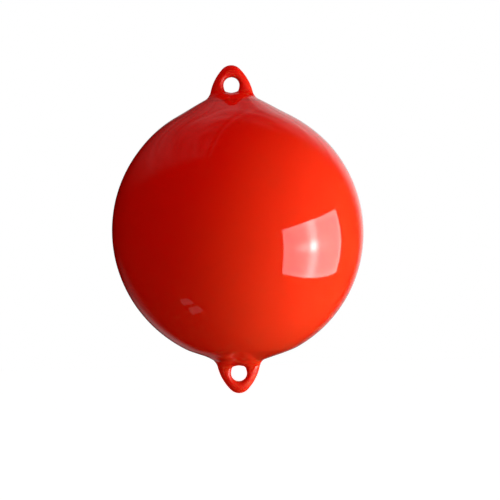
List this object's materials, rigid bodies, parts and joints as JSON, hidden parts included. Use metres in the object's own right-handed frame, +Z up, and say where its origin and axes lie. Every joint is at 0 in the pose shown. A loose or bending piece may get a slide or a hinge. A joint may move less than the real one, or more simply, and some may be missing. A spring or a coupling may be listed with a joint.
{
  "type": "anchor buoy",
  "caption": "Round inflatable anchor buoy in red vinyl with a moulded rope eye at its top and its bottom and a screw valve on its shoulder.",
  "frame": {"origin": "on the axis through both eyes, at the waterline of the floating buoy", "axes": "+Z up along the axis through both eyes; +Y along the holes of the eyes, towards the valve"},
  "size_m": [0.3036, 0.3036, 0.3963],
  "materials": {
    "red_vinyl": "gloss",
    "valve_rubber": "matte",
    "valve_plastic": "satin"
  },
  "bodies": {
    "root": {"buoy_shell": "red_vinyl", "upper_eye": "red_vinyl", "lower_eye": "red_vinyl", "valve_seat": "red_vinyl", "valve_gasket": "valve_rubber", "valve_plug": "valve_plastic"}
  },
  "joints": []
}
